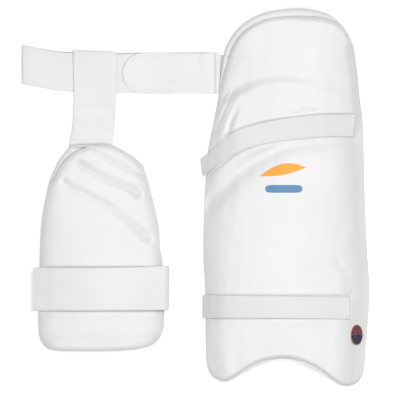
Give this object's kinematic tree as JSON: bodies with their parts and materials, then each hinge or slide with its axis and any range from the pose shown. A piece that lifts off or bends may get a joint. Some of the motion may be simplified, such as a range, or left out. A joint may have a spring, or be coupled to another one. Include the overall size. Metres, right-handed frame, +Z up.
{
  "type": "cricket thigh guard set",
  "caption": "White cricket thigh guard set: outer thigh guard with hip flap and inner thigh guard on an elastic waist belt, lying face up.",
  "frame": {"origin": "centre of the bounding box at floor level", "axes": "+X across the set from the inner guard to the outer guard, +Y along the guards from knee end to hip end, +Z up through the front faces, lying face up"},
  "size_m": [0.4093, 0.4458, 0.0647],
  "materials": {
    "front_fabric": "matte",
    "webbing": "matte",
    "binding": "matte",
    "liner": "matte",
    "foam": "matte",
    "hook": "matte",
    "print_orange": "matte",
    "print_blue": "matte",
    "badge_navy": "satin",
    "badge_maroon": "satin"
  },
  "bodies": {
    "thigh": {"thigh_liner": "liner", "thigh_base_foam": "foam", "thigh_cover": "front_fabric", "main_foam_block": "foam", "mid_foam_block": "foam", "left_wing_foam": "foam", "right_wing_foam": "foam", "thigh_binding": "binding", "lower_strap_root": "webbing", "upper_strap_root": "webbing", "emblem_leaf": "print_orange", "emblem_bar": "print_blue", "badge_lower": "badge_navy", "badge_upper": "badge_maroon"},
    "hip": {"hip_liner": "liner", "hip_base_foam": "foam", "hip_cover": "front_fabric", "hip_foam_block": "foam", "hip_rim_roll": "binding", "hip_binding": "binding", "belt_anchor_patch": "webbing", "tab_root": "webbing"},
    "belt": {"belt": "webbing"},
    "tab": {"belt_tab": "webbing", "tab_hook_patch": "hook"},
    "belt_loop": {"hanger_loop": "webbing"},
    "hanger": {"hanger_strap": "webbing", "hanger_stitch_patch": "webbing"},
    "inner_guard": {"inner_liner": "liner", "inner_base_foam": "foam", "inner_cover": "front_fabric", "inner_foam_low": "foam", "inner_foam_middle": "foam", "inner_foam_upper": "foam", "inner_foam_top": "foam", "inner_binding": "binding", "inner_hanger_stub": "webbing", "inner_band_root": "webbing"},
    "band": {"inner_band": "webbing", "inner_band_hook": "hook"},
    "upper_strap_body": {"upper_strap": "webbing"},
    "upper_end": {"upper_strap_end": "webbing", "upper_hook_patch": "hook"},
    "lower_strap_body": {"lower_strap": "webbing"},
    "lower_end": {"lower_strap_end": "webbing", "lower_hook_patch": "hook"}
  },
  "joints": [
    {"name": "hip_flex", "type": "hinge", "parent": "thigh", "child": "hip", "pos_m": [0.106, 0.13, 0.039], "axis": [1, 0, 0], "range_deg": [-8, 8]},
    {"name": "belt_swing", "type": "hinge", "parent": "hip", "child": "belt", "pos_m": [0.013, 0.15, 0.0122], "axis": [0, 1, 0], "range_deg": [0, 35]},
    {"name": "tab_peel", "type": "hinge", "parent": "belt", "child": "tab", "pos_m": [0.013, 0.15, 0.0122], "axis": [0, 1, 0], "range_deg": [0, 80]},
    {"name": "loop_slide", "type": "slide", "parent": "belt", "child": "belt_loop", "axis": [1, 0, 0], "range_m": [-0.015, 0.004]},
    {"name": "hanger_swing", "type": "hinge", "parent": "belt_loop", "child": "hanger", "pos_m": [-0.118, 0.12, 0.0068], "axis": [-1, 0, 0], "range_deg": [0, 90]},
    {"name": "inner_tilt", "type": "hinge", "parent": "hanger", "child": "inner_guard", "pos_m": [-0.1225, 0.062, 0.009], "axis": [-1, 0, 0], "range_deg": [-25, 45]},
    {"name": "band_peel", "type": "hinge", "parent": "inner_guard", "child": "band", "pos_m": [-0.0351, -0.109, 0.0092], "axis": [0, 1, 0], "range_deg": [0, 90]},
    {"name": "upper_strap_swing", "type": "hinge", "parent": "thigh", "child": "upper_strap_body", "pos_m": [0.007, 0.0335, 0.0058], "axis": [0.1084, -0.9941, 0], "range_deg": [0, 95]},
    {"name": "upper_end_peel", "type": "hinge", "parent": "upper_strap_body", "child": "upper_end", "pos_m": [0.1272, 0.082, 0.0648], "axis": [0, -1, 0], "range_deg": [0, 90]},
    {"name": "lower_strap_swing", "type": "hinge", "parent": "thigh", "child": "lower_strap_body", "pos_m": [0.0086, -0.13, 0.0096], "axis": [0, -1, 0], "range_deg": [0, 85]},
    {"name": "lower_end_peel", "type": "hinge", "parent": "lower_strap_body", "child": "lower_end", "pos_m": [0.1272, -0.13, 0.0645], "axis": [0, -1, 0], "range_deg": [0, 90]}
  ]
}
